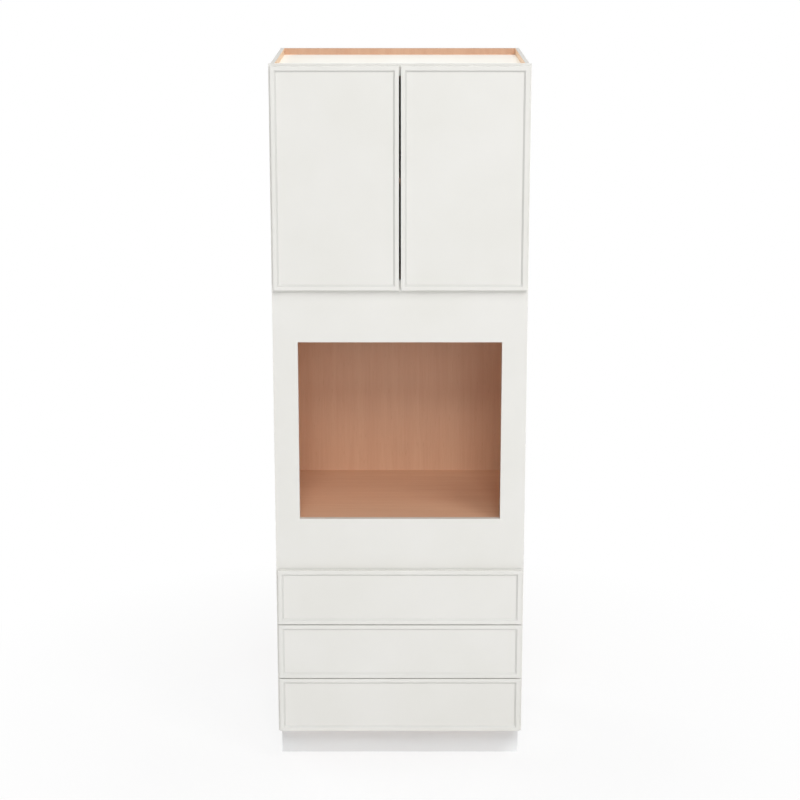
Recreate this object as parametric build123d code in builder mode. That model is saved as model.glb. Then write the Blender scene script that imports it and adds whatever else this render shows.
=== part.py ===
"""Tall framed oven cabinet: two doors over an open oven bay over three drawers.

Millimetres, +Z up, the fronts face -Y. The origin is the middle of the floor under the cabinet.
"""
from build123d import *
import os

os.makedirs("parts", exist_ok=True)

# Case
case_width = 838.2
case_height = 2400.3
case_depth = 609.6
frame_overhang = 6.35
toe_height = 114.3
toe_setback = 76.2
toe_thickness = 12.7
side_thickness = 12.7
back_thickness = 12.7
deck_thickness = 12.7
dado_depth = 6.35
top_recess = 22.2
edge_break = 0.8

# Face frame
frame_thickness = 19.05
stile_width = 38.1
rail_width = 38.1

# Oven bay
oven_opening_width = 673.1
oven_opening_height = 609.6
oven_lip = 6.35
oven_floor_height = 876.3
oven_shelf_thickness = 19.05
cleat_width = 19.05
cleat_height = 38.1

# Cupboard
cupboard_floor_height = 1701.8
shelf_thickness = 19.05
shelf_side_gap = 1.5
shelf_front_setback = 12.7
shelf_back_gap = 3.0
pin_hole_pitch = 32.0
pin_hole_rows = 5
pin_shelf_row = 2
pin_row_height = 242.0
pin_column_inset = 60.0
pin_radius = 2.5
pin_hole_gap = 0.05
pin_depth = 8.0
pin_head_radius = 4.0
pin_head_length = 9.0

# Door and drawer fronts
reveal = 6.35
door_spacing = 6.35
front_gap = 2.0
front_thickness = 19.05
flat_width = 12.7
bevel_width = 6.35
bevel_depth = 6.35
front_rounding = 1.0
tongue_thickness = 6.35
tongue_length = 6.35
bumper_radius = 4.0
bumper_gap = 0.3
bumper_inset = 14.0

# Drawers
drawer_count = 3
drawer_front_height = 192.5
drawer_spacing = 3.2
box_side_gap = 5.0
box_wall = 15.9
box_height = 107.95
box_depth_allowance = 76.2
box_lift = 45.75
box_bottom_thickness = 6.35
box_bottom_recess = 12.7
box_groove_depth = 6.35
box_top_rounding = 3.0
dovetail_count = 4
dovetail_narrow = 6.0
dovetail_slope = 1 / 6

# Undermount runners
runner_sheet = 1.6
runner_flange_height = 27.0
runner_drop = 12.0
runner_track_inset = 25.0
runner_track_width = 18.0
runner_track_height = 11.0
runner_lip = 2.4
runner_carriage_height = 12.2
runner_slide_gap = 0.5
runner_seat_gap = 0.3
runner_web = 6.0
runner_flange_rise = 6.2
runner_front_setback = 3.0
runner_start_gap = 6.0
bracket_sheet = 2.0
bracket_overlap = 40.0
bracket_plate_height = 40.0
bracket_drop = 8.0
runner_notch_play = 4.0
clip_width = 18.0
clip_length = 58.0
clip_height = 9.0
clip_tail = 3.0
clip_lever = 22.0

# Concealed hinges, measured from the door's outer edge and from the face of the frame
hinge_inset = 88.9
cup_radius = 17.5
cup_tab = 3.7
cup_depth = 11.3
cup_fit = 0.1
cup_wall = 0.8
cup_slot_length = 30.4
cup_slot_width = 12.8
cup_rim_notch = 3.0
cup_flange_thickness = 0.9
cup_flange_radius = 19.5
cup_screw_spacing = 45.0
cup_screw_offset = 9.5
cup_ear_radius = 5.5
cup_screw_hole_radius = 2.1
long_pivot = (52.3, 20.0)
long_elbow = (33.2, -2.2)
long_cup_pivot = (14.0, -3.9)
short_pivot = (36.3, 1.2)
short_elbow = (31.5, -10.8)
short_cup_pivot = (14.5, -7.9)
link_sheet = 1.8
link_half_width = 1.4
link_eye_radius = 2.4
link_gap = 0.3
arm_thickness = 3.0
arm_eye_radius = 2.6
hinge_pin_radius = 1.0
hinge_pin_fit = 0.03
slot_reach = 1.1
slot_play = 0.45
slot_rim = 0.9
base_thickness = 2.0
base_height = 44.0
base_notch_depth = 12.0
base_screw_pitch = 28.0
base_screw_radius = 2.2

# Derived places, used by more than one piece
face = -(case_depth - front_gap - front_thickness) / 2
frame_back = face + frame_thickness
case_back = face + case_depth
back_front = case_back - back_thickness
side_outer = case_width / 2 - frame_overhang
side_inner = side_outer - side_thickness
opening_half = case_width / 2 - stile_width
overlay = stile_width - reveal
front_back = face - front_gap
front_half_width = case_width / 2 - reveal
frame_width = flat_width + bevel_width
panel_thickness = front_thickness - bevel_depth
drawer_pitch = drawer_front_height + drawer_spacing
box_length = case_depth - box_depth_allowance
first_front_bottom = toe_height + reveal
drawers_top = first_front_bottom + drawer_count * drawer_pitch - drawer_spacing
oven_panel_bottom = drawers_top - overlay
oven_opening_bottom = oven_floor_height + oven_lip
door_bottom = cupboard_floor_height - overlay
door_top = case_height - reveal
top_surface = case_height - top_recess
hinge_heights = (door_bottom + hinge_inset, door_top - hinge_inset)
cup_centre = cup_tab + cup_radius
toe_y = (face + toe_setback, face + toe_setback + toe_thickness)
shelf_underside = cupboard_floor_height + pin_row_height + pin_shelf_row * pin_hole_pitch + pin_radius
pin_columns = (frame_back + pin_column_inset, back_front - pin_column_inset)


def save(shape, name):
    """Label a finished piece and write it."""
    shape.label = name
    export_step(shape, f"parts/{name}.step")


def board(x, y, z):
    """A board between the low and high values of each axis."""
    with BuildPart() as piece:
        with BuildSketch(Plane.XY.offset(z[0])):
            with Locations(((x[0] + x[1]) / 2, (y[0] + y[1]) / 2)):
                Rectangle(x[1] - x[0], y[1] - y[0])
        extrude(amount=z[1] - z[0])
    return piece.part


def mirrored(shapes):
    """The same pieces on the other side of the cabinet."""
    return [mirror(shape, about=Plane.YZ) for shape in shapes]


def assembly(pieces):
    """Separate solids that share one node."""
    return Compound(children=list(pieces))


# Case: sides, back, decks and toe board
def side_panel():
    """Left side with a toe notch, dados for the decks and lined holes for the shelf pins."""
    with BuildPart() as side:
        with BuildSketch(Plane.YZ.offset(-side_outer)):
            with BuildLine():
                Polyline(
                    (frame_back, case_height),
                    (case_back, case_height),
                    (case_back, 0),
                    (toe_y[1], 0),
                    (toe_y[1], toe_height),
                    (frame_back, toe_height),
                    close=True,
                )
            make_face()
        extrude(amount=side_thickness)
        for surface, thickness in deck_levels:
            with BuildSketch(Plane.YZ.offset(-side_inner)):
                with Locations(((frame_back + back_front) / 2, surface - thickness / 2)):
                    Rectangle(back_front - frame_back, thickness)
            extrude(amount=-dado_depth, mode=Mode.SUBTRACT)
        with BuildSketch(Plane.YZ.offset(-side_inner)):
            for column in pin_columns:
                for row in range(pin_hole_rows):
                    height = cupboard_floor_height + pin_row_height + row * pin_hole_pitch
                    with Locations((column, height)):
                        Circle(pin_radius + pin_hole_gap)
        extrude(amount=-pin_depth, mode=Mode.SUBTRACT)
    return side.part


def deck(surface, thickness):
    """A fixed deck let into both sides, with its upper face at the given height."""
    half = side_inner + dado_depth
    return board((-half, half), (frame_back, back_front), (surface - thickness, surface))


bottom_surface = toe_height + deck_thickness
deck_levels = (
    (top_surface, deck_thickness),
    (cupboard_floor_height, deck_thickness),
    (oven_floor_height, oven_shelf_thickness),
    (bottom_surface, deck_thickness),
)

left_side = side_panel()
save(left_side, "left_side_panel")
save(mirror(left_side, about=Plane.YZ), "right_side_panel")
save(deck(*deck_levels[0]), "top_panel")
save(deck(*deck_levels[1]), "cupboard_floor")
save(deck(*deck_levels[2]), "oven_shelf")
save(deck(*deck_levels[3]), "bottom_panel")
save(board((-side_inner, side_inner), (back_front, case_back), (0, case_height)), "back_panel")

save(board((-side_outer, side_outer), toe_y, (0, toe_height)), "toe_kick_board")

cleat_top = oven_floor_height - oven_shelf_thickness
cleat_x = (-side_inner, -side_inner + cleat_width)
left_cleat = board(cleat_x, (frame_back, back_front), (cleat_top - cleat_height, cleat_top))
save(assembly([left_cleat] + mirrored([left_cleat])), "oven_shelf_cleats")


# Face frame: stiles, rails and the panel round the oven opening
def frame_rail(bottom, height):
    """A rail between the stiles."""
    return board((-opening_half, opening_half), (face, frame_back), (bottom, bottom + height))


def oven_front():
    """The broad panel of the frame with the oven cut-out, its front arris eased."""
    height = cupboard_floor_height - oven_panel_bottom
    with BuildPart() as panel:
        with BuildSketch(Plane.XZ.offset(-frame_back)):
            with Locations((0, oven_panel_bottom + height / 2)):
                Rectangle(2 * opening_half, height)
            with Locations((0, oven_opening_bottom + oven_opening_height / 2)):
                Rectangle(oven_opening_width, oven_opening_height, mode=Mode.SUBTRACT)
        extrude(amount=frame_thickness)
        front = panel.faces().sort_by(Axis.Y)[0]
        chamfer(front.inner_wires().edges(), edge_break)
    return panel.part


left_stile = board((-case_width / 2, -opening_half), (face, frame_back), (toe_height, case_height))
save(left_stile, "left_stile")
save(mirror(left_stile, about=Plane.YZ), "right_stile")
save(frame_rail(case_height - rail_width, rail_width), "top_rail")
save(frame_rail(toe_height, rail_width), "bottom_rail")
save(oven_front(), "oven_front_panel")

drawer_rails = []
for lower in range(drawer_count - 1):
    gap_middle = first_front_bottom + (lower + 1) * drawer_pitch - drawer_spacing / 2
    drawer_rails.append(frame_rail(gap_middle - rail_width / 2, rail_width))
save(assembly(drawer_rails), "drawer_rails")


# Adjustable shelf and its pins
with BuildPart() as shelf:
    with BuildSketch(Plane.XY.offset(shelf_underside + pin_head_radius - pin_radius)):
        shelf_front = frame_back + shelf_front_setback
        shelf_back = back_front - shelf_back_gap
        with Locations((0, (shelf_front + shelf_back) / 2)):
            Rectangle(2 * (side_inner - shelf_side_gap), shelf_back - shelf_front)
    extrude(amount=shelf_thickness)
    fillet(shelf.edges().filter_by(Axis.X).group_by(Axis.Y)[0], edge_break)
save(shelf.part, "adjustable_shelf")


def shelf_pin(column):
    """A turned pin pushed into a side, with a thicker head under the shelf."""
    height = shelf_underside - pin_radius
    with BuildPart() as pin:
        with BuildSketch(Plane(origin=(-side_inner, column, height), z_dir=(1, 0, 0))):
            Circle(pin_radius)
        extrude(amount=-pin_depth)
        with BuildSketch(Plane(origin=(-side_inner, column, height), z_dir=(1, 0, 0))):
            Circle(pin_head_radius)
        extrude(amount=pin_head_length)
    return pin.part


left_pins = [shelf_pin(column) for column in pin_columns]
save(assembly(left_pins + mirrored(left_pins)), "shelf_pins")


# Door and drawer fronts: a narrow mitred frame with a bevelled inner edge round a flat panel
def frame_member(length):
    """One mitred member along X, its outer edge at z = 0, its back at y = 0 and its front towards -Y."""
    groove_front = -(panel_thickness + tongue_thickness) / 2
    groove_back = groove_front + tongue_thickness
    groove_floor = frame_width - tongue_length
    with BuildPart() as member:
        with BuildSketch(Plane.YZ) as section:
            with BuildLine():
                Polyline(
                    (-front_thickness, 0),
                    (-front_thickness, flat_width),
                    (-panel_thickness, frame_width),
                    (groove_front, frame_width),
                    (groove_front, groove_floor),
                    (groove_back, groove_floor),
                    (groove_back, frame_width),
                    (0, frame_width),
                    (0, 0),
                    close=True,
                )
            make_face()
            outer_corner = section.vertices().sort_by(Axis.Y).group_by(Axis.X)[0][0]
            fillet(outer_corner, front_rounding)
        extrude(amount=length / 2, both=True)
        split(bisect_by=Plane(origin=(length / 2, 0, 0), z_dir=(1, 0, 1)), keep=Keep.BOTTOM)
        split(bisect_by=Plane(origin=(-length / 2, 0, 0), z_dir=(-1, 0, 1)), keep=Keep.BOTTOM)
    return member.part


def front_frame(x, z):
    """Four mitred members round the rectangle between the given values: left, right, bottom, top."""
    middle_x = (x[0] + x[1]) / 2
    middle_z = (z[0] + z[1]) / 2
    across = frame_member(x[1] - x[0])
    upright = frame_member(z[1] - z[0])
    left = Location((x[0], front_back, middle_z), (0, 90, 0)) * upright
    right = Location((x[1], front_back, middle_z), (0, -90, 0)) * upright
    bottom = Location((middle_x, front_back, z[0])) * across
    top = Location((middle_x, front_back, z[1]), (0, 180, 0)) * across
    return [left, right, bottom, top]


def front_panel(x, z):
    """The flat panel inside such a frame, with a tongue all round that sits in the groove."""
    inner_x = (x[0] + frame_width, x[1] - frame_width)
    inner_z = (z[0] + frame_width, z[1] - frame_width)
    middle = ((inner_x[0] + inner_x[1]) / 2, (inner_z[0] + inner_z[1]) / 2)
    width = inner_x[1] - inner_x[0]
    height = inner_z[1] - inner_z[0]
    with BuildPart() as panel:
        with BuildSketch(Plane.XZ.offset(-front_back)):
            with Locations(middle):
                Rectangle(width, height)
        extrude(amount=panel_thickness)
        with BuildSketch(Plane.XZ.offset(-front_back + (panel_thickness - tongue_thickness) / 2)):
            with Locations(middle):
                Rectangle(width + 2 * tongue_length, height + 2 * tongue_length)
        extrude(amount=tongue_thickness)
    return panel.part


def bored(piece):
    """The same piece with the hinge cups' bores in its back."""
    with BuildPart() as result:
        add(piece)
        for height in hinge_heights:
            with BuildSketch(Plane(origin=(hinge_x(cup_centre), front_back, height), z_dir=(0, -1, 0))):
                Circle(cup_radius + cup_fit)
            extrude(amount=cup_depth + cup_fit, mode=Mode.SUBTRACT)
    return result.part


def hinge_x(inward):
    """World x of a point this far inward of the left door's outer edge."""
    return inward - front_half_width


def hinge_point(pivot):
    """World (x, y) of a hinge point given from the door's edge and the face of the frame."""
    return (hinge_x(pivot[0]), face + pivot[1])


# Concealed hinges
pin_hole = hinge_pin_radius + hinge_pin_fit
short_layer = arm_thickness / 2 + link_gap
long_layer = short_layer + link_sheet + link_gap
long_outside = long_layer + link_sheet
pin_seat = cup_slot_width / 2 + 2 * hinge_pin_radius


def hinge_cup(height):
    """A cast cup: a slot for the links, low at both ends, screw ears and bores for its pins."""
    centre = (hinge_x(cup_centre), front_back)
    ear_x = cup_screw_offset
    with BuildPart() as cup:
        back = Plane(origin=(centre[0], centre[1], height), x_dir=(1, 0, 0), z_dir=(0, -1, 0))
        with BuildSketch(back):
            Circle(cup_radius)
        extrude(amount=cup_depth)
        with BuildSketch(back):
            with Locations((ear_x, cup_screw_spacing / 2), (ear_x, -cup_screw_spacing / 2)):
                Circle(cup_ear_radius)
            Circle(cup_flange_radius)
            make_hull()
            with Locations((ear_x, cup_screw_spacing / 2), (ear_x, -cup_screw_spacing / 2)):
                Circle(cup_screw_hole_radius, mode=Mode.SUBTRACT)
            Rectangle(2 * cup_flange_radius + cup_ear_radius, cup_slot_width, mode=Mode.SUBTRACT)
        extrude(amount=-cup_flange_thickness)
        with BuildSketch(back):
            Rectangle(cup_slot_length, cup_slot_width)
        extrude(amount=cup_depth - cup_wall, mode=Mode.SUBTRACT)
        with BuildSketch(back):
            Rectangle(2 * cup_radius, cup_slot_width)
        extrude(amount=cup_rim_notch, mode=Mode.SUBTRACT)
        for pivot in (long_cup_pivot, short_cup_pivot):
            with BuildSketch(Plane.XY.offset(height - pin_seat)):
                with Locations(hinge_point(pivot)):
                    Circle(pin_hole)
            extrude(amount=2 * pin_seat, mode=Mode.SUBTRACT)
    return cup.part


def hinge_pin(pivot, low, high):
    """A plain pin between two heights."""
    with BuildPart() as pin:
        with BuildSketch(Plane.XY.offset(low)):
            with Locations(hinge_point(pivot)):
                Circle(hinge_pin_radius)
        extrude(amount=high - low)
    return pin.part


def eye(reach, radius, mode=Mode.ADD):
    """A disc or hole in the open sketch, drawn out to both sides by the reach where there is one."""
    if reach:
        SlotCenterToCenter(2 * reach, 2 * radius, mode=mode)
    else:
        Circle(radius, mode=mode)


def link(fixed, elbow, moving, low, reach=0.0, play=0.0):
    """A bent link of sheet with an eye at each end, its lower face at the given height.

    A reach turns the moving end's hole into a slot along the line between the two pivots.
    """
    start, bend, end = [Vector(*hinge_point(point)) for point in (fixed, elbow, moving)]
    moving_end = Plane(origin=(end.X, end.Y, low), x_dir=end - start, z_dir=(0, 0, 1))
    with BuildPart() as plate:
        with BuildSketch(Plane.XY.offset(low)):
            for run in ((start, bend), (bend, end)):
                with BuildLine():
                    Line(*run)
                trace(line_width=2 * link_half_width)
            with Locations(bend):
                Circle(link_half_width)
            with Locations(start):
                Circle(link_eye_radius)
        with BuildSketch(moving_end):
            eye(reach, max(link_eye_radius, pin_hole + play + slot_rim))
        extrude(amount=link_sheet)
        with BuildSketch(Plane.XY.offset(low)):
            with Locations(start):
                Circle(pin_hole)
        with BuildSketch(moving_end):
            eye(reach, pin_hole + play)
        extrude(amount=link_sheet, mode=Mode.SUBTRACT)
    return plate.part


def fixed_arm(height):
    """The plate screwed to the stile's inner edge, with the arm that carries both fixed pivots."""
    base_x = -opening_half
    root_y = (face + base_notch_depth + frame_back - edge_break) / 2
    with BuildPart() as arm:
        with BuildSketch(Plane.YZ.offset(base_x)):
            with Locations((face + frame_thickness / 2, height)):
                RectangleRounded(frame_thickness - 2 * edge_break, base_height, base_thickness)
            for side in (-1, 1):
                with Locations((face + frame_thickness / 2, height + side * base_screw_pitch / 2)):
                    Circle(base_screw_radius, mode=Mode.SUBTRACT)
            with Locations((face + base_notch_depth / 2, height)):
                Rectangle(base_notch_depth, cup_slot_width, mode=Mode.SUBTRACT)
        extrude(amount=base_thickness)
        with BuildSketch(Plane.XY.offset(height - arm_thickness / 2)):
            with Locations(hinge_point(long_pivot), hinge_point(short_pivot)):
                Circle(arm_eye_radius)
            with Locations((base_x + base_thickness / 2, root_y)):
                Rectangle(base_thickness, frame_back - edge_break - face - base_notch_depth)
            make_hull()
            with Locations(hinge_point(long_pivot), hinge_point(short_pivot)):
                Circle(pin_hole, mode=Mode.SUBTRACT)
        extrude(amount=arm_thickness)
    return arm.part


def bumper(z):
    """A small clear pad near the door's free corner, on its back."""
    x = -door_spacing / 2 - bumper_inset
    with BuildPart() as pad:
        with BuildSketch(Plane(origin=(x, front_back, z), z_dir=(0, 1, 0))):
            Circle(bumper_radius)
        extrude(amount=front_gap - bumper_gap)
    return pad.part


door_x = (-front_half_width, -door_spacing / 2)
door_z = (door_bottom, door_top)
door_members = front_frame(door_x, door_z)
door_members[0] = bored(door_members[0])
door_panel = bored(front_panel(door_x, door_z))
cups = []
cup_pins = []
arms = []
arm_pins = []
long_links = []
short_links = []
for height in hinge_heights:
    cups.append(hinge_cup(height))
    arms.append(fixed_arm(height))
    cup_pins.append(hinge_pin(short_cup_pivot, height - pin_seat, height + pin_seat))
    cup_pins.append(hinge_pin(long_cup_pivot, height - pin_seat, height - long_layer + link_gap / 2))
    cup_pins.append(hinge_pin(long_cup_pivot, height + long_layer - link_gap / 2, height + pin_seat))
    for pivot, reach in ((long_pivot, long_outside), (short_pivot, long_layer - link_gap / 2)):
        arm_pins.append(hinge_pin(pivot, height - reach, height + reach))
    for low in (height - long_outside, height + long_layer):
        long_links.append(link(long_pivot, long_elbow, long_cup_pivot, low))
    for low in (height - short_layer - link_sheet, height + short_layer):
        short_links.append(link(short_pivot, short_elbow, short_cup_pivot, low, slot_reach, slot_play))
bumpers = [bumper(door_bottom + bumper_inset), bumper(door_top - bumper_inset)]

door_nodes = {
    "door_frame": door_members,
    "door_panel": [door_panel],
    "door_bumpers": bumpers,
    "hinge_cups": cups,
    "hinge_cup_pins": cup_pins,
    "hinge_arms": arms,
    "hinge_long_links": long_links,
    "hinge_short_links": short_links,
}
for name, pieces in door_nodes.items():
    save(assembly(pieces), f"left_{name}")
    save(assembly(mirrored(pieces)), f"right_{name}")
save(assembly(arm_pins + mirrored(arm_pins)), "hinge_arm_pins")


# Drawer runners, drawn on the right side and mirrored
def runner_plane(end):
    """A plane across the runners at y = end, whose extrusions run towards the front."""
    return Plane.XZ.offset(-end)


def bent_sheet(base, end, length, paths, thickness=runner_sheet):
    """Sheet bent along each path of (inset from the opening's edge, height above the base) points."""
    with BuildPart() as sheet:
        with BuildSketch(runner_plane(end)):
            for path in paths:
                with BuildLine():
                    Polyline(*[(opening_half - inset, base + rise) for inset, rise in path])
                trace(line_width=thickness)
        extrude(amount=length)
    return sheet.part


track_middle = runner_track_inset + runner_track_width / 2
track_near = runner_track_inset + runner_sheet / 2
track_far = runner_track_inset + runner_track_width - runner_sheet / 2
lip_near = runner_track_inset + runner_sheet + runner_lip
lip_far = runner_track_inset + runner_track_width - runner_sheet - runner_lip
carriage_top = runner_drop + box_bottom_recess
carriage_bottom = carriage_top - runner_carriage_height
fixed_front = face + runner_front_setback
fixed_back = fixed_front + box_length
slide_front = front_back + box_wall + runner_start_gap
slide_back = front_back + box_length
clip_inset = runner_track_inset + runner_track_width + runner_slide_gap
box_outer = opening_half - box_side_gap
box_inner = box_outer - box_wall
box_end_faces = ((front_back, front_back + box_wall), (slide_back, slide_back - box_wall))


def lipped_track(lip, floor):
    """The path of a track's section: two lips at one height, two walls and a floor at the other."""
    near = [(lip_near, lip), (track_near, lip), (track_near, floor)]
    far = [(track_far, floor), (track_far, lip), (lip_far, lip)]
    return near + far


def fixed_member(base):
    """The fixed member: a flange on the stile's edge, a web and a lipped track that opens upwards."""
    sheet = runner_sheet / 2
    lip = runner_track_height - sheet
    flange = [(sheet, runner_flange_height), (sheet, sheet), (track_near, sheet)]
    track = lipped_track(lip, sheet)
    return bent_sheet(base, fixed_back, box_length, [flange, track])


def drawer_member(base):
    """The runner's drawer member: the same lipped track upside down, under the drawer's bottom."""
    roof = carriage_top - runner_sheet / 2
    lip = carriage_bottom + runner_sheet / 2
    track = lipped_track(lip, roof)
    return bent_sheet(base, slide_back, slide_back - slide_front, [track])


def middle_member(base):
    """The runner's intermediate member: a beam whose two flanges run in the facing tracks."""
    width = runner_track_width - 2 * runner_sheet - 2 * runner_slide_gap
    low = runner_sheet + runner_seat_gap
    high = carriage_top - runner_sheet - runner_seat_gap
    x = opening_half - track_middle
    with BuildPart() as beam:
        with BuildSketch(runner_plane(slide_back)):
            with Locations((x, base + (low + high) / 2)):
                Rectangle(runner_web, high - low)
            for flange_middle in (low + runner_flange_rise / 2, high - runner_flange_rise / 2):
                with Locations((x, base + flange_middle)):
                    Rectangle(width, runner_flange_rise)
        extrude(amount=slide_back - slide_front)
    return beam.part


def rear_bracket(base):
    """The socket on the cabinet's back that carries the fixed member's rear end."""
    sheet = bracket_sheet / 2
    near = -sheet
    far = runner_track_inset + runner_track_width + sheet
    length = back_front - fixed_back + bracket_overlap
    wall = runner_track_height
    channel = [(near, wall), (near, -sheet), (far, -sheet), (far, wall)]
    with BuildPart() as bracket:
        add(bent_sheet(base, back_front, length, [channel], bracket_sheet))
        with BuildSketch(runner_plane(back_front)):
            plate_middle = base + bracket_plate_height / 2 - bracket_drop
            with Locations((opening_half - (near + far) / 2, plate_middle)):
                plate = Rectangle(far - near + 2 * bracket_drop, bracket_plate_height)
            chamfer(plate.vertices(), bracket_sheet)
        extrude(amount=bracket_sheet)
    return bracket.part


def latch(base):
    """The clip under the drawer's bottom that hooks onto the drawer member, with a finger lever."""
    top = base + carriage_top
    start = front_back + box_wall
    with BuildPart() as clip:
        with BuildSketch(Plane.YZ.offset(opening_half - clip_inset - clip_width)):
            with BuildLine():
                Polyline(
                    (start, top),
                    (start + clip_length, top),
                    (start + clip_length, top - clip_tail),
                    (start + clip_lever, top - clip_height),
                    (start, top - clip_height),
                    close=True,
                )
            make_face()
        extrude(amount=clip_width)
        fillet(clip.edges().filter_by(Axis.X).group_by(Axis.Z)[0], edge_break)
    return clip.part


def dovetail_pins(bottom, outer, inner):
    """The right-hand pins of a box's end: narrow at the outer face, spread evenly above the groove."""
    lowest = bottom + box_bottom_recess + box_bottom_thickness
    pitch = (bottom + box_height - lowest) / dovetail_count
    narrow = dovetail_narrow / 2
    wide = narrow + box_wall * dovetail_slope
    with BuildPart() as pins:
        for row in range(dovetail_count):
            middle = lowest + (row + 0.5) * pitch
            with BuildSketch(Plane.YZ.offset(box_inner)):
                with BuildLine():
                    Polyline(
                        (outer, middle - narrow),
                        (outer, middle + narrow),
                        (inner, middle + wide),
                        (inner, middle - wide),
                        close=True,
                    )
                make_face()
        extrude(amount=box_wall)
    return pins.part


def box_side(bottom):
    """Right side of a drawer box, grooved and cut into dovetails, its top arrises rounded."""
    with BuildPart() as side:
        with BuildSketch(runner_plane(slide_back)):
            with Locations(((box_outer + box_inner) / 2, bottom + box_height / 2)):
                Rectangle(box_wall, box_height)
        extrude(amount=box_length)
        fillet(side.edges().filter_by(Axis.Y).group_by(Axis.Z)[-1], box_top_rounding)
        add(box_bottom(bottom), mode=Mode.SUBTRACT)
        for outer, inner in box_end_faces:
            add(dovetail_pins(bottom, outer, inner), mode=Mode.SUBTRACT)
    return side.part


def box_end(bottom, outer, inner, notched):
    """An end of a drawer box between two values of y, pinned into both sides, notched for the runners."""
    pins = dovetail_pins(bottom, outer, inner)
    with BuildPart() as end:
        with BuildSketch(runner_plane(max(outer, inner))):
            with Locations((0, bottom + box_height / 2)):
                Rectangle(2 * box_inner, box_height)
            if notched:
                notch_inner = opening_half - runner_track_inset - runner_track_width - runner_notch_play
                notch_middle = (box_inner + notch_inner) / 2
                for side in (-1, 1):
                    with Locations((side * notch_middle, bottom + box_bottom_recess / 2)):
                        Rectangle(box_inner - notch_inner, box_bottom_recess, mode=Mode.SUBTRACT)
        extrude(amount=box_wall)
        add([pins, mirror(pins, about=Plane.YZ)])
        add(box_bottom(bottom), mode=Mode.SUBTRACT)
    return end.part


def box_bottom(bottom):
    """The drawer's bottom, let into all four walls."""
    half = box_inner + box_groove_depth
    start = front_back + box_wall - box_groove_depth
    end = slide_back - box_wall + box_groove_depth
    low = bottom + box_bottom_recess
    return board((-half, half), (start, end), (low, low + box_bottom_thickness))


# The three drawers, from the bottom up
fixed_members = []
rear_brackets = []
for place, position in enumerate(("bottom", "middle", "top")):
    front_bottom = first_front_bottom + place * drawer_pitch
    front_x = (-front_half_width, front_half_width)
    front_z = (front_bottom, front_bottom + drawer_front_height)
    box_low = front_bottom + box_lift
    base = box_low - runner_drop
    side = box_side(box_low)
    front_end = box_end(box_low, *box_end_faces[0], notched=False)
    back_end = box_end(box_low, *box_end_faces[1], notched=True)
    fixed_members.append(fixed_member(base))
    rear_brackets.append(rear_bracket(base))
    drawer_nodes = {
        "drawer_front_frame": front_frame(front_x, front_z),
        "drawer_front_panel": [front_panel(front_x, front_z)],
        "drawer_sides": [side] + mirrored([side]),
        "drawer_ends": [front_end, back_end],
        "drawer_bottom": [box_bottom(box_low)],
        "drawer_members": [drawer_member(base)] + mirrored([drawer_member(base)]),
        "drawer_latches": [latch(base)] + mirrored([latch(base)]),
        "runner_middles": [middle_member(base)] + mirrored([middle_member(base)]),
    }
    for name, pieces in drawer_nodes.items():
        save(assembly(pieces), f"{position}_{name}")
save(assembly(fixed_members + mirrored(fixed_members)), "runner_fixed_members")
save(assembly(rear_brackets + mirrored(rear_brackets)), "runner_rear_brackets")
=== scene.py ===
"""Looks of the tall oven cabinet: finishes for its CAD pieces, small fasteners, studio and camera.

Metres, +Z up, the fronts face -Y, the origin is the middle of the floor under the cabinet. The
fasteners are placed in millimetres, from the boxes of the CAD pieces that they hold.
"""
import math

import bpy
import numpy as np
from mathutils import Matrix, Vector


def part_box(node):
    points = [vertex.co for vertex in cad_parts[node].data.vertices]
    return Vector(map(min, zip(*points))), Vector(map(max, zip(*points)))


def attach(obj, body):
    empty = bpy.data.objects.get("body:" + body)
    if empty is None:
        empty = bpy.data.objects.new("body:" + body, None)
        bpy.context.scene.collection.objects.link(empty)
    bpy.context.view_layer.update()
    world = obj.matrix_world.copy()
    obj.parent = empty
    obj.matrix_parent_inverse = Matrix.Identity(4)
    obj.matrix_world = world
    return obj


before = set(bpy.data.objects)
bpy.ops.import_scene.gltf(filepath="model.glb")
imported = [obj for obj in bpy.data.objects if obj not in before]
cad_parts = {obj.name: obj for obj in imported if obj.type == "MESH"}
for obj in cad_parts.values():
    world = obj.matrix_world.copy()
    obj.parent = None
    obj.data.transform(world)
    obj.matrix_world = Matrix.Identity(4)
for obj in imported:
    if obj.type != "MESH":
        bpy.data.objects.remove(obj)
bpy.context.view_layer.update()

MM = 0.001
DRAWERS = ("bottom", "middle", "top")

# Camera, fitted to the straight edges of the cabinet in the photograph
CAMERA_PLACE = (0.0003, -6.7535, 2.9792)
CAMERA_PITCH_DOWN = 14.603
CAMERA_LENS = 90.594
CAMERA_SENSOR = 36.0
CAMERA_REACH = 60.0


def place_camera():
    """A camera in front of the cabinet and above its middle, level from side to side, pitched down."""
    data = bpy.data.cameras.new("studio_camera")
    data.sensor_width = CAMERA_SENSOR
    data.lens = CAMERA_LENS
    data.clip_end = CAMERA_REACH
    camera = bpy.data.objects.new("studio_camera", data)
    camera.location = CAMERA_PLACE
    camera.rotation_euler = (math.radians(90.0 - CAMERA_PITCH_DOWN), 0.0, 0.0)
    bpy.context.scene.collection.objects.link(camera)
    bpy.context.scene.camera = camera


# Colours
def rgb(red, green, blue):
    """A colour written as 0 to 255 screen values, as the linear values that shaders take.

    Near black the screen's curve is a straight line, and above that a power of 2.4.
    """
    values = np.array((red, green, blue)) / 255.0
    linear = np.where(values <= 0.04045, values / 12.92, ((values + 0.055) / 1.055) ** 2.4)
    return (*(float(v) for v in linear), 1.0)


def toned(colour, factor):
    """A colour made darker or paler by a factor."""
    return (*(min(1.0, factor * part) for part in colour[:3]), 1.0)


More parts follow.
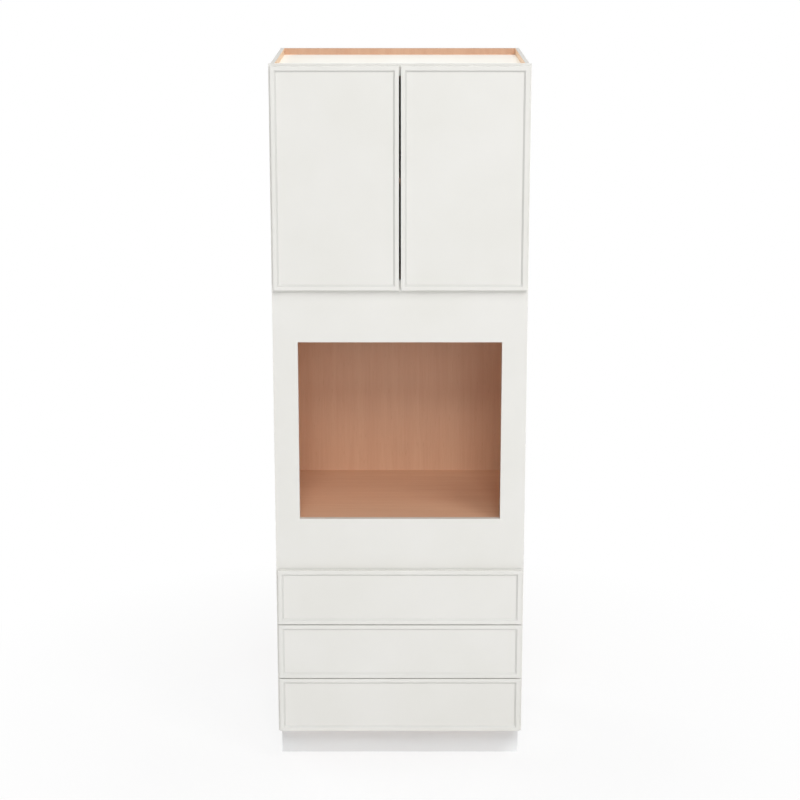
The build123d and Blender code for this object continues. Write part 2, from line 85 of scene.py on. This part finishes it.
# Each pair or three runs from the palest tone to the deepest
LACQUER = (rgb(226, 225, 221), rgb(223, 222, 217))
# Painted light: the toe kick's lacquer is paler and bluer than the rest, against the shade and warm bounce
# under the overhang
TOE_LACQUER_PAINTED_LIGHT = (rgb(241, 243, 244), rgb(238, 240, 241))
WOOD = (rgb(226, 185, 153), rgb(216, 169, 137), rgb(199, 149, 117))
DRAWER_WOOD = (rgb(229, 195, 156), rgb(219, 180, 138), rgb(198, 154, 112))
END_GRAIN = (rgb(192, 148, 106), rgb(166, 120, 80))
# Painted light: the near-white upper face of the top panel
TOP_PAINTED_LIGHT = (rgb(249, 248, 241), rgb(246, 243, 234))
CROSS_PLY = rgb(164, 118, 88)
# Painted light: the paler wood on the sides' inner faces above the top panel
RIM_WOOD_PAINTED_LIGHT = rgb(241, 210, 176)
BOARD_EDGE = rgb(203, 201, 195)

# Shades that multiply a colour
# Painted shade on the sloping faces of the fronts' mouldings
SLOPE_PAINTED_SHADE = (0.9, 0.9, 0.905, 1.0)
# Painted shade on the back board's front face above the top panel
BACK_STRIP_PAINTED_SHADE = (0.77, 0.75, 0.74, 1.0)
PLATING_SHADE = 0.86
PLASTIC_LIGHT = 1.12


# Sockets of a Mix node for each kind of value: the amount, both sources and the result
MIX_SOCKETS = {"FLOAT": (0, 2, 3, 0), "VECTOR": (0, 4, 5, 1), "RGBA": (0, 6, 7, 2)}


class Finish:
    """One material under construction: its node tree and short calls for the nodes used here."""

    def __init__(self, name, **values):
        self.material = bpy.data.materials.new(name)
        self.material.use_nodes = True
        self.tree = self.material.node_tree
        self.shader = self.tree.nodes["Principled BSDF"]
        for socket, value in values.items():
            self.shader.inputs[socket.replace("_", " ")].default_value = value

    def node(self, kind, **settings):
        """A new shader node with its settings."""
        made = self.tree.nodes.new("ShaderNode" + kind)
        for key, value in settings.items():
            setattr(made, key, value)
        return made

    def link(self, source, target):
        """Join an output to an input; a plain value is set on the input instead."""
        if isinstance(source, bpy.types.NodeSocket):
            self.tree.links.new(source, target)
        else:
            target.default_value = source

    def place(self, scale=(1, 1, 1), shift=(0, 0, 0)):
        """Object coordinates, stretched by a scale for each axis and shifted."""
        mapping = self.node("Mapping")
        mapping.inputs["Scale"].default_value = scale
        mapping.inputs["Location"].default_value = shift
        self.link(self.node("TexCoord").outputs["Object"], mapping.inputs["Vector"])
        return mapping.outputs["Vector"]

    def one_axis(self, output, axis):
        """One axis of the place or of the normal, both in the piece's own coordinates."""
        split = self.node("SeparateXYZ")
        self.link(self.node("TexCoord").outputs[output], split.inputs[0])
        return split.outputs[axis]

    def at(self, axis):
        """The place along an axis, in metres."""
        return self.one_axis("Object", axis)

    def facing(self, axis):
        """How far the surface faces along an axis, from -1 to 1."""
        return self.one_axis("Normal", axis)

    def noise(self, vector, scale=1.0, detail=2.0, roughness=0.5, distortion=0.0):
        """A cloudy noise, mostly between 0.3 and 0.7."""
        made = self.node("TexNoise")
        settings = {"Vector": vector, "Scale": scale, "Detail": detail, "Roughness": roughness,
                    "Distortion": distortion}
        for socket, value in settings.items():
            self.link(value, made.inputs[socket])
        return made.outputs["Fac"]

    def math(self, operation, first, second=0.0, third=0.0):
        """The result of one operation on up to three values."""
        made = self.node("Math", operation=operation)
        for value, socket in zip((first, second, third), made.inputs):
            self.link(value, socket)
        return made.outputs[0]

    def spread(self, value, band, result=(0.0, 1.0)):
        """A value's band mapped to the result's two limits and held there."""
        made = self.node("MapRange")
        for socket, number in zip(("From Min", "From Max", "To Min", "To Max"), (*band, *result)):
            made.inputs[socket].default_value = number
        self.link(value, made.inputs["Value"])
        return made.outputs["Result"]

    def mix(self, amount, first, second, kind="RGBA", blend="MIX"):
        """Two colours, numbers or vectors mixed by an amount."""
        made = self.node("Mix", data_type=kind, blend_type=blend)
        *inputs, result = MIX_SOCKETS[kind]
        for source, socket in zip((amount, first, second), inputs):
            self.link(source, made.inputs[socket])
        return made.outputs[result]

    def relief(self, height, depth, strength, under=None):
        """A bump from a height field, its depth in millimetres, over another bump where one is given."""
        made = self.node("Bump")
        made.inputs["Distance"].default_value = depth * MM
        made.inputs["Strength"].default_value = strength
        self.link(height, made.inputs["Height"])
        if under is not None:
            self.link(under, made.inputs["Normal"])
        return made.outputs["Normal"]

    def dressed(self, colour, roughness, bump):
        """The material, with these three joined to its shader."""
        for socket, source in (("Base Color", colour), ("Roughness", roughness), ("Normal", bump)):
            self.link(source, self.shader.inputs[socket])
        return self.material


# Bands of a noise that a tone or a gloss follows
MIDDLE_BAND = (0.35, 0.65)
BROAD_BAND = (0.3, 0.7)
UPPER_BAND = (0.35, 0.7)
RING_BAND = (0.33, 0.67)
FIBRE_BAND = (0.45, 0.8)
FLECK_BAND = (0.66, 0.78)
PORE_BAND = (0.4, 0.7)

# Roughness between its smoothest and its dullest places
LACQUER_ROUGHNESS = (0.36, 0.46)
WOOD_ROUGHNESS = (0.42, 0.55)
PAD_ROUGHNESS = (0.25, 0.4)

# How much of the deepest wood tone shows in fibres and flecks, and the broad tones' share in the figure
FIBRE_DEPTH = (0.0, 0.35)
FLECK_DEPTH = (0.0, 0.45)
BROAD_SHARE = 0.45
SEED_STEPS = (1.0, 1.7, 2.3)

# Shader values of the clear coats and the lacquer
LACQUER_COAT = {"IOR": 1.48}
VENEER_COAT = {"IOR": 1.47, "Coat_Weight": 0.15, "Coat_Roughness": 0.35}
DRAWER_COAT = {"IOR": 1.47, "Coat_Weight": 0.1, "Coat_Roughness": 0.4}

# How far a face has to face a way, or lie in from a board's edge, to be told from the others
SLOPE_FACING = math.cos(math.radians(45.0))
SLOPE_PLAY = 0.15
END_FACING = 0.9
CLEARLY_FACING = 0.5
SKIN = 0.2 * MM

# The sides: the share of painted light, a paler wood colour, on their inner faces above the top panel, and
# the layers of their ply
RIM_PAINTED_LIGHT_SHARE = 0.8
PLY_LAYERS = 7


def lacquer_parts(finish, tones=LACQUER):
    """Colour, roughness and bump of the white lacquer: a faint cloudiness and a sprayed orange peel.

    The colour is a little darker and greyer on the faces that slope at half a right angle, the mouldings
    of the fronts: painted shade.
    """
    cloud = finish.noise(finish.place(), scale=3.0, detail=3.0)
    colour = finish.mix(finish.spread(cloud, MIDDLE_BAND), *tones)
    forward = finish.math("ABSOLUTE", finish.facing("Y"))
    slope = finish.math("COMPARE", forward, SLOPE_FACING, SLOPE_PLAY)
    # Painted shade: the sloping faces of the mouldings are darkened
    colour = finish.mix(slope, colour, SLOPE_PAINTED_SHADE, blend="MULTIPLY")
    sheen = finish.noise(finish.place(), scale=14.0, detail=4.0)
    roughness = finish.spread(sheen, BROAD_BAND, LACQUER_ROUGHNESS)
    peel = finish.noise(finish.place(), scale=420.0, detail=1.5)
    ripple = finish.noise(finish.place(), scale=60.0, detail=1.0)
    bump = finish.relief(peel, depth=0.02, strength=0.6)
    return colour, roughness, finish.relief(ripple, depth=0.06, strength=0.5, under=bump)


def wood_parts(finish, along, seed, tones=WOOD):
    """Colour, roughness and bump of clear-coated veneer whose grain runs along one axis.

    Broad tones, drawn-out growth rings, fine fibres and short dark flecks are noises stretched along
    the grain.
    """
    def stretched(across, lengthways):
        scale = [across] * 3
        scale["XYZ".index(along)] = lengthways
        return finish.place(scale, [seed * step for step in SEED_STEPS])

    pale, mid, deep = tones
    broad = finish.noise(stretched(across=4.0, lengthways=0.5), distortion=0.3)
    rings = finish.noise(stretched(across=38.0, lengthways=1.1), detail=3.0, roughness=0.6, distortion=0.8)
    fibres = finish.noise(stretched(across=900.0, lengthways=9.0))
    flecks = finish.noise(stretched(across=420.0, lengthways=30.0), detail=1.0)
    broad_part = finish.math("MULTIPLY", broad, BROAD_SHARE)
    figure = finish.math("ADD", broad_part, finish.math("MULTIPLY", rings, 1.0 - BROAD_SHARE))
    colour = finish.mix(finish.spread(figure, RING_BAND), pale, mid)
    colour = finish.mix(finish.spread(fibres, FIBRE_BAND, FIBRE_DEPTH), colour, deep)
    colour = finish.mix(finish.spread(flecks, FLECK_BAND, FLECK_DEPTH), colour, deep)
    roughness = finish.spread(fibres, BROAD_BAND, WOOD_ROUGHNESS)
    bump = finish.relief(rings, depth=0.05, strength=0.4)
    return colour, roughness, finish.relief(fibres, depth=0.03, strength=0.5, under=bump)


def white_lacquer(name, tones):
    """White lacquer all over."""
    finish = Finish(name, **LACQUER_COAT)
    return finish.dressed(*lacquer_parts(finish, tones))


def veneer(along, seed, tones=WOOD):
    """Clear-coated veneer all over; the seed gives each board its own figure."""
    finish = Finish(f"veneer_along_{along}_{seed:g}", **VENEER_COAT)
    return finish.dressed(*wood_parts(finish, along, seed, tones))


def solid_wood(along, seed):
    """The drawer boxes' wood, a little yellower than the veneer, with end grain across its ends."""
    finish = Finish(f"drawer_wood_along_{along}", **DRAWER_COAT)
    colour, roughness, bump = wood_parts(finish, along, seed, DRAWER_WOOD)
    pores = finish.noise(finish.place(), scale=1500.0)
    end_colour = finish.mix(finish.spread(pores, PORE_BAND), *END_GRAIN)
    at_end = finish.math("GREATER_THAN", finish.math("ABSOLUTE", finish.facing(along)), END_FACING)
    return finish.dressed(finish.mix(at_end, colour, end_colour), roughness, bump)


def above(finish, node, drop=0.0):
    """One above a CAD node's top, or a drop below it, and zero lower down."""
    return finish.math("GREATER_THAN", finish.at("Z"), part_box(node)[1].z - drop)


def back_board():
    """Veneer on both faces, with painted shade on its front face over the top panel, and a grey sealed top
    edge.
    """
    finish = Finish("back_board_veneer", **VENEER_COAT)
    colour, roughness, bump = wood_parts(finish, "Z", 1.0)
    front_face = finish.math("LESS_THAN", finish.facing("Y"), -CLEARLY_FACING)
    strip = finish.math("MULTIPLY", above(finish, "top_panel"), front_face)
    # Painted shade: the front face above the top panel is darkened
    colour = finish.mix(strip, colour, BACK_STRIP_PAINTED_SHADE, blend="MULTIPLY")
    colour = finish.mix(above(finish, "back_panel", SKIN), colour, BOARD_EDGE)
    return finish.dressed(colour, roughness, bump)


def top_board():
    """Veneer below, and on top of the cabinet a faintly yellow near-white face: painted light, for the
    strong light the top takes.
    """
    finish = Finish("top_board_veneer", **VENEER_COAT)
    colour, roughness, bump = wood_parts(finish, "X", 2.0)
    cloud = finish.noise(finish.place((6.0, 1.5, 6.0)), detail=3.0)
    # Painted light: the upper face takes a near-white colour in place of the veneer
    lit_top = finish.mix(finish.spread(cloud, MIDDLE_BAND), *TOP_PAINTED_LIGHT)
    upper_face = finish.math("GREATER_THAN", finish.facing("Z"), CLEARLY_FACING)
    return finish.dressed(finish.mix(upper_face, colour, lit_top), roughness, bump)


def ply_layers(finish, depth, thickness):
    """Layers of veneer seen from their edges, every other one darker with open pores."""
    layer = finish.math("FLOOR", finish.math("MULTIPLY", depth, PLY_LAYERS / thickness))
    grain = finish.noise(finish.place((1500.0, 1500.0, 250.0)))
    pores = finish.spread(grain, UPPER_BAND)
    pale, mid, deep = WOOD
    dark = finish.mix(pores, deep, CROSS_PLY)
    return finish.mix(finish.math("MODULO", layer, 2.0), finish.mix(pores, pale, mid), dark)


def side_board():
    """White lacquer outside, veneer on the face towards the inside, ply at the rear, a grey top edge."""
    finish = Finish("side_board_lacquered_outside", **LACQUER_COAT)
    paint_colour, paint_roughness, paint_bump = lacquer_parts(finish)
    wood_colour, wood_roughness, wood_bump = wood_parts(finish, "Z", 4.0)
    low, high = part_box("right_side_panel")
    outward = finish.math("ABSOLUTE", finish.at("X"))
    inside = finish.math("LESS_THAN", outward, low.x + SKIN)
    top_edge = above(finish, "right_side_panel", SKIN)
    shown = finish.math("MULTIPLY", inside, finish.math("SUBTRACT", 1.0, top_edge))
    # Painted light: the inner faces above the top panel are mixed towards a paler wood
    rim_light = finish.math("MULTIPLY", above(finish, "top_panel"), RIM_PAINTED_LIGHT_SHARE)
    colour = finish.mix(shown, paint_colour, finish.mix(rim_light, wood_colour, RIM_WOOD_PAINTED_LIGHT))
    colour = finish.mix(top_edge, colour, BOARD_EDGE)
    rear_face = finish.math("GREATER_THAN", finish.facing("Y"), CLEARLY_FACING)
    layers = ply_layers(finish, finish.math("SUBTRACT", outward, low.x), high.x - low.x)
    return finish.dressed(
        finish.mix(rear_face, colour, layers),
        finish.mix(shown, paint_roughness, wood_roughness, kind="FLOAT"),
        finish.mix(shown, paint_bump, wood_bump, kind="VECTOR"),
    )


def metal(name, colour, streaks_scale, roughness):
    """Plated steel with fine rolling streaks in its gloss and a faint cloud in its colour."""
    finish = Finish(name, Metallic=1.0)
    cloud = finish.noise(finish.place(), scale=40.0, detail=3.0)
    streaks = finish.noise(finish.place(streaks_scale), detail=3.0)
    return finish.dressed(
        finish.mix(finish.spread(cloud, UPPER_BAND), colour, toned(colour, PLATING_SHADE)),
        finish.spread(streaks, BROAD_BAND, roughness),
        finish.relief(streaks, depth=0.01, strength=0.5),
    )


def plastic(name, colour, roughness):
    """Moulded plastic with a fine spark-eroded grain."""
    finish = Finish(name, IOR=1.49)
    grain = finish.noise(finish.place(), scale=1800.0, detail=1.0)
    cloud = finish.noise(finish.place(), scale=30.0)
    return finish.dressed(
        finish.mix(finish.spread(cloud, BROAD_BAND), colour, toned(colour, PLASTIC_LIGHT)),
        finish.spread(grain, BROAD_BAND, roughness),
        finish.relief(grain, depth=0.02, strength=0.6),
    )


def clear_pad():
    """A clear soft pad with a faint haze in its gloss."""
    finish = Finish("clear_pad", Base_Color=rgb(236, 236, 232), Transmission_Weight=0.55, IOR=1.45)
    haze = finish.noise(finish.place(), scale=300.0, detail=1.0)
    finish.link(finish.spread(haze, BROAD_BAND, PAD_ROUGHNESS), finish.shader.inputs["Roughness"])
    return finish.material


lacquer = white_lacquer("white_lacquer", LACQUER)
steel = metal("zinc_plated_steel", rgb(205, 208, 212), (700, 6, 700), (0.28, 0.44))
nickel = metal("nickel_plate", rgb(214, 208, 198), (300, 300, 12), (0.18, 0.30))
bright = metal("bright_steel", rgb(216, 216, 216), (400, 400, 400), (0.16, 0.26))
zinc = metal("zinc_screw", rgb(208, 208, 205), (900, 900, 900), (0.22, 0.36))

# The finish of each CAD node, by the end of its name; the rest are lacquered
finishes = {
    "side_panel": side_board(),
    "back_panel": back_board(),
    "top_panel": top_board(),
    # Painted light on the toe kick board
    "toe_kick_board": white_lacquer("toe_kick_lacquer_painted_light", TOE_LACQUER_PAINTED_LIGHT),
    "cupboard_floor": veneer("X", 3.0),
    "oven_shelf": veneer("X", 5.0),
    "bottom_panel": veneer("X", 6.0),
    "oven_shelf_cleats": veneer("Y", 7.0),
    "adjustable_shelf": veneer("X", 8.0),
    "drawer_sides": solid_wood("Y", 9.0),
    "drawer_ends": solid_wood("X", 10.0),
    "drawer_bottom": veneer("X", 11.0, DRAWER_WOOD),
    "drawer_members": steel,
    "runner_middles": steel,
    "runner_fixed_members": steel,
    "runner_rear_brackets": plastic("bracket_plastic", rgb(186, 188, 190), (0.45, 0.57)),
    "drawer_latches": plastic("latch_plastic", rgb(98, 100, 103), (0.4, 0.52)),
    "door_bumpers": clear_pad(),
    "hinge_cups": nickel,
    "hinge_arms": nickel,
    "hinge_long_links": nickel,
    "hinge_short_links": nickel,
    "hinge_cup_pins": bright,
    "hinge_arm_pins": bright,
    "shelf_pins": bright,
}
for name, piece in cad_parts.items():
    chosen = next((made for ending, made in finishes.items() if name.endswith(ending)), lacquer)
    piece.data.materials.clear()
    piece.data.materials.append(chosen)


# Small fasteners, in millimetres
SEGMENTS = 16
ARM_STEP = SEGMENTS // 4
HEAD_TURN = 2.4
HEAD_SUNK = 0.05
SHARP_ANGLE = 32.0

# Profiles from the lowest point to the top: a ring's radius, its height, and its height in an arm of the
# cross, as shares of the head's radius and height
CROSS_HEAD = (
    (0.0, 0.0, 0.0),
    (1.0, 0.0, 0.0),
    (1.0, 0.42, 0.42),
    (0.94, 0.72, 0.72),
    (0.79, 0.92, 0.92),
    (0.57, 1.0, 1.0),
    (0.5, 1.0, 0.4),
    (0.24, 0.98, 0.12),
    (0.12, 0.12, 0.12),
    (0.0, 0.05, 0.05),
)
BRAD_HEAD = (
    (0.0, 0.0, 0.0),
    (1.0, 0.0, 0.0),
    (1.0, 0.5, 0.5),
    (0.8, 1.0, 1.0),
    (0.0, 0.9, 0.9),
)

# Radius and height of each head
CUP_HEAD = (3.5, 0.8)
ARM_HEAD = (3.6, 1.4)
RUNNER_HEAD = (3.2, 1.3)
BRACKET_HEAD = (4.0, 1.8)
LATCH_HEAD = (3.0, 1.2)
FRONT_HEAD = (5.2, 2.4)
BRAD_SIZE = (1.6, 0.35)

# Screws of the hinges, from the ends of the cups and of the arms' bases
CUP_SCREW_OFFSET = 9.5
CUP_SCREW_INSET = 5.5
CUP_SCREW_PITCH = 45.0
ARM_BASE_THICKNESS = 2.0
ARM_SCREW_INSET = 8.0
ARM_SCREW_PITCH = 28.0

# Screws of the runners, above the runners' base; the latches' tops lie LATCH_TOP_RISE above it
LATCH_TOP_RISE = 24.7
RUNNER_SHEET = 1.6
RUNNER_SCREW_RISES = (9.0, 20.0)
BRACKET_SHEET = 2.0
BRACKET_HALF_WIDTH = 30.5
BRACKET_SCREW_SHIFT = 20.0
BRACKET_SCREW_RISE = 24.0

# Screws of the drawers, and brads in the edges of the decks
LATCH_SCREW_INSET = 9.0
LATCH_SCREW_SETBACK = 12.0
BOX_WALL = 15.9
FRONT_SCREW_X = 210.0
FRONT_SCREW_MIDDLE_RISE = 9.0
FRONT_SCREW_SHIFT = 24.0
BRAD_REACH = 360.0
BRADS_IN_A_DECK = 7

# What the fasteners are made of: the material and a slot name
NICKEL = (nickel, "nickel_plate")
ZINC = (zinc, "bright_steel")


def in_mm(node):
    """Lowest and highest corner of a CAD node, in millimetres."""
    return [np.array(corner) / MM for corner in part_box(node)]


def head_points(profile, size, places, direction):
    """Points of each head: its lowest point, its rings from low to high, and its top.

    A ring's points are its radius times the cosine and sine of the turn, across the direction the head
    faces, and its height along that direction. Each head is turned further than the one before it, and
    sunk a little into what it sits on.
    """
    rows = np.array(profile)
    radius, height = size
    step = np.arange(SEGMENTS)
    turn = 2 * np.pi * step / SEGMENTS + HEAD_TURN * np.arange(len(places))[:, None]
    out = np.array(direction, float)
    side = np.array((1.0, 0.0, 0.0)) if out[2] else np.cross(out, (0.0, 0.0, 1.0))
    up = np.cross(out, side)
    around = np.cos(turn)[..., None] * side + np.sin(turn)[..., None] * up
    rises = np.where(step % ARM_STEP == 0, rows[1:-1, 2:3], rows[1:-1, 1:2]) * height
    rings = (rows[1:-1, 0] * radius)[None, :, None, None] * around[:, None] + rises[None, ..., None] * out
    poles = rows[[0, -1], 1] * height
    low, high = (np.broadcast_to(pole * out, (len(places), 1, 3)) for pole in poles)
    points = np.concatenate((low, rings.reshape(len(places), -1, 3), high), axis=1)
    return (points + np.array(places, float)[:, None] - HEAD_SUNK * out) * MM


def head_faces(rings, heads):
    """Quads between the rings of each head, and triangles from its first and last ring to its poles."""
    step = np.arange(SEGMENTS)
    after = (step + 1) % SEGMENTS
    lower = 1 + np.arange(rings - 1)[:, None] * SEGMENTS
    upper = lower + SEGMENTS
    last = 1 + (rings - 1) * SEGMENTS
    top = last + SEGMENTS
    quads = np.stack((lower + step, lower + after, upper + after, upper + step), axis=-1)
    bottom_fan = np.stack((np.zeros_like(step), 1 + after, 1 + step), axis=-1)
    top_fan = np.stack((last + step, last + after, np.full_like(step, top)), axis=-1)
    start = (np.arange(heads) * (top + 1))[:, None, None]
    faces = []
    for part in (quads, bottom_fan, top_fan):
        corners = part.shape[-1]
        faces += (part.reshape(1, -1, corners) + start).reshape(-1, corners).tolist()
    return faces


def fasteners(name, body, made_of, size, places, direction, profile=CROSS_HEAD):
    """Heads of screws or brads as one mesh of closed solids, riding on a body."""
    material, slot = made_of
    points = head_points(profile, size, places, direction)
    mesh = bpy.data.meshes.new(name)
    mesh.from_pydata(points.reshape(-1, 3).tolist(), [], head_faces(len(profile) - 2, len(places)))
    mesh.polygons.foreach_set("use_smooth", [True] * len(mesh.polygons))
    mesh.set_sharp_from_angle(angle=math.radians(SHARP_ANGLE))
    mesh.materials.append(material)
    piece = bpy.data.objects.new(name, mesh)
    bpy.context.scene.collection.objects.link(piece)
    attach(piece, body)


def end_pairs(low, high, inset, pitch):
    """Two heights at each end of a span: one set in from the end, and one a pitch further in."""
    return (low + inset, low + inset + pitch, high - inset - pitch, high - inset)


def stile_edge(side):
    """X of a stile's edge in the cupboard's opening, and Y of its middle."""
    low, high = in_mm(f"{side}_stile")
    return (high if side == "left" else low)[0], (low[1] + high[1]) / 2


def runner_bases():
    """Heights of the three pairs of runners."""
    return [in_mm(f"{name}_drawer_latches")[1][2] - LATCH_TOP_RISE for name in DRAWERS]


def hinge_screws(side, inward):
    """Two screws in the ears of each hinge cup, and two in the base of each arm."""
    low, high = in_mm(f"{side}_hinge_cups")
    x = (low[0] + high[0]) / 2 + inward * CUP_SCREW_OFFSET
    seats = [(x, high[1], z) for z in end_pairs(low[2], high[2], CUP_SCREW_INSET, CUP_SCREW_PITCH)]
    fasteners(f"{side}_cup_screws", f"{side}_door", NICKEL, CUP_HEAD, seats, (0, 1, 0))
    edge, middle = stile_edge(side)
    low, high = in_mm(f"{side}_hinge_arms")
    x = edge + inward * ARM_BASE_THICKNESS
    seats = [(x, middle, z) for z in end_pairs(low[2], high[2], ARM_SCREW_INSET, ARM_SCREW_PITCH)]
    fasteners(f"{side}_arm_screws", "cabinet", NICKEL, ARM_HEAD, seats, (inward, 0, 0))


def runner_screws(side, inward):
    """Two screws in each runner's flange on the stile, and two in its bracket on the back."""
    edge, middle = stile_edge(side)
    x = edge + inward * RUNNER_SHEET
    seats = [(x, middle, base + rise) for base in runner_bases() for rise in RUNNER_SCREW_RISES]
    fasteners(f"{side}_runner_screws", "cabinet", ZINC, RUNNER_HEAD, seats, (inward, 0, 0))
    y = in_mm("back_panel")[0][1] - BRACKET_SHEET
    middle = in_mm("runner_rear_brackets")[1][0] - BRACKET_HALF_WIDTH
    across = [-inward * (middle + sign * BRACKET_SCREW_SHIFT) for sign in (-1, 1)]
    seats = [(x, y, base + BRACKET_SCREW_RISE) for base in runner_bases() for x in across]
    fasteners(f"{side}_bracket_screws", "cabinet", ZINC, BRACKET_HEAD, seats, (0, -1, 0))


def drawer_screws(name):
    """A screw under each latch, and four in the box's front end that hold the drawer front."""
    low, high = in_mm(f"{name}_drawer_latches")
    y = low[1] + LATCH_SCREW_SETBACK
    seats = [(x, y, low[2]) for x in (low[0] + LATCH_SCREW_INSET, high[0] - LATCH_SCREW_INSET)]
    fasteners(f"{name}_latch_screws", f"{name}_drawer", ZINC, LATCH_HEAD, seats, (0, 0, -1))
    low, high = in_mm(f"{name}_drawer_ends")
    y = low[1] + BOX_WALL
    middle = (low[2] + high[2]) / 2 + FRONT_SCREW_MIDDLE_RISE
    heights = (middle - FRONT_SCREW_SHIFT, middle + FRONT_SCREW_SHIFT)
    seats = [(x, y, z) for x in (-FRONT_SCREW_X, FRONT_SCREW_X) for z in heights]
    fasteners(f"{name}_front_screws", f"{name}_drawer", ZINC, FRONT_HEAD, seats, (0, 1, 0))


def back_brads():
    """Brads through the back into the rear edges of the four decks."""
    decks = ("top_panel", "cupboard_floor", "oven_shelf", "bottom_panel")
    heights = [sum(in_mm(deck))[2] / 2 for deck in decks]
    rear = in_mm("back_panel")[1][1]
    across = np.linspace(-BRAD_REACH, BRAD_REACH, BRADS_IN_A_DECK)
    places = [(x, rear, z) for z in heights for x in across]
    fasteners("back_brads", "cabinet", ZINC, BRAD_SIZE, places, (0, 1, 0), BRAD_HEAD)


for side, inward in (("left", 1), ("right", -1)):
    hinge_screws(side, inward)
    runner_screws(side, inward)
for name in DRAWERS:
    drawer_screws(name)
back_brads()


# Studio: a pale floor, a white surround for the camera and soft lamps
AMBIENT = 0.19
FLOOR_HALF = 14.0
FLOOR_GREY = (0.9, 0.9, 0.9, 1.0)
NEAR_FLOOR = 0.9
FAR_FLOOR = 1.9
NEAR_WHITENESS = 0.81

# Each lamp's place, the point it faces, its size in metres and its power in watts
LAMPS = {
    "front_right_lamp": ((2.6, -11.0, 4.6), (0.0, 0.0, 1.25), 3.0, 158.0),
    "high_lamp": ((0.0, -9.5, 8.6), (0.0, 0.0, 1.3), 4.0, 530.0),
    "steep_right_lamp": ((3.6, -5.0, 8.6), (0.0, 0.0, 1.2), 3.0, 224.0),
    "low_lamp": ((0.0, -3.4, 0.4), (0.0, 0.0, 0.3), 1.4, 7.0),
    "top_lamp": ((0.0, 0.1, 6.0), (0.0, 0.1, 2.4), 1.2, 36.0),
    "rear_right_lamp": ((6.0, 7.0, 4.0), (0.0, 0.0, 1.2), 4.0, 150.0),
    "rear_left_lamp": ((-7.0, 5.0, 4.0), (0.0, 0.0, 1.2), 4.0, 200.0),
    "right_side_lamp": ((8.0, 2.2, 2.4), (0.0, 0.0, 1.2), 3.0, 110.0),
    "left_side_lamp": ((-8.0, 2.2, 2.4), (0.0, 0.0, 1.2), 3.0, 100.0),
}


def seen_directly(tree):
    """One where a ray comes from the camera or a glossy surface, and zero for all other light."""
    path = tree.nodes.new("ShaderNodeLightPath")
    seen = tree.nodes.new("ShaderNodeMath")
    seen.operation = "MAXIMUM"
    tree.links.new(path.outputs["Is Camera Ray"], seen.inputs[0])
    tree.links.new(path.outputs["Is Glossy Ray"], seen.inputs[1])
    return seen.outputs[0]


def surround():
    """White to the camera and in reflections, plain soft light for everything else."""
    world = bpy.data.worlds.new("studio_surround")
    world.use_nodes = True
    tree = world.node_tree
    background = tree.nodes["Background"]
    strength = tree.nodes.new("ShaderNodeMapRange")
    strength.inputs["To Min"].default_value = AMBIENT
    strength.inputs["To Max"].default_value = 1.0
    background.inputs["Color"].default_value = (1.0, 1.0, 1.0, 1.0)
    tree.links.new(seen_directly(tree), strength.inputs["Value"])
    tree.links.new(strength.outputs["Result"], background.inputs["Strength"])
    bpy.context.scene.world = world


def floor():
    """A broad pale floor that takes the cabinet's shadow and whitens into the surround away from it."""
    corners = [(x * FLOOR_HALF, y * FLOOR_HALF, 0) for x, y in ((-1, -1), (1, -1), (1, 1), (-1, 1))]
    mesh = bpy.data.meshes.new("studio_floor")
    mesh.from_pydata(corners, [], [(0, 1, 2, 3)])
    ground = bpy.data.objects.new("studio_floor", mesh)
    bpy.context.scene.collection.objects.link(ground)
    finish = Finish("studio_floor", Base_Color=FLOOR_GREY, Roughness=0.9)
    length = finish.node("VectorMath", operation="LENGTH")
    finish.link(finish.place(), length.inputs[0])
    whiteness = finish.spread(length.outputs["Value"], (NEAR_FLOOR, FAR_FLOOR), (NEAR_WHITENESS, 1.0))
    glow = finish.node("Emission")
    mixed = finish.node("MixShader")
    finish.link(finish.math("MULTIPLY", whiteness, seen_directly(finish.tree)), mixed.inputs[0])
    finish.link(finish.shader.outputs[0], mixed.inputs[1])
    finish.link(glow.outputs[0], mixed.inputs[2])
    finish.link(mixed.outputs[0], finish.tree.nodes["Material Output"].inputs["Surface"])
    mesh.materials.append(finish.material)


def soft_lamp(name, place, aim, size, power):
    """A square area lamp that faces a point and doesn't show itself."""
    data = bpy.data.lights.new(name, "AREA")
    data.shape = "SQUARE"
    data.size = size
    data.energy = power
    lamp = bpy.data.objects.new(name, data)
    direction = np.subtract(aim, place)
    flat = math.hypot(direction[0], direction[1])
    lamp.location = place
    lamp.rotation_euler = (math.atan2(flat, -direction[2]), 0.0, math.atan2(-direction[0], direction[1]))
    lamp.visible_camera = False
    bpy.context.scene.collection.objects.link(lamp)


place_camera()
surround()
floor()
for name, settings in LAMPS.items():
    soft_lamp(name, *settings)
bpy.context.scene.view_settings.view_transform = "Standard"
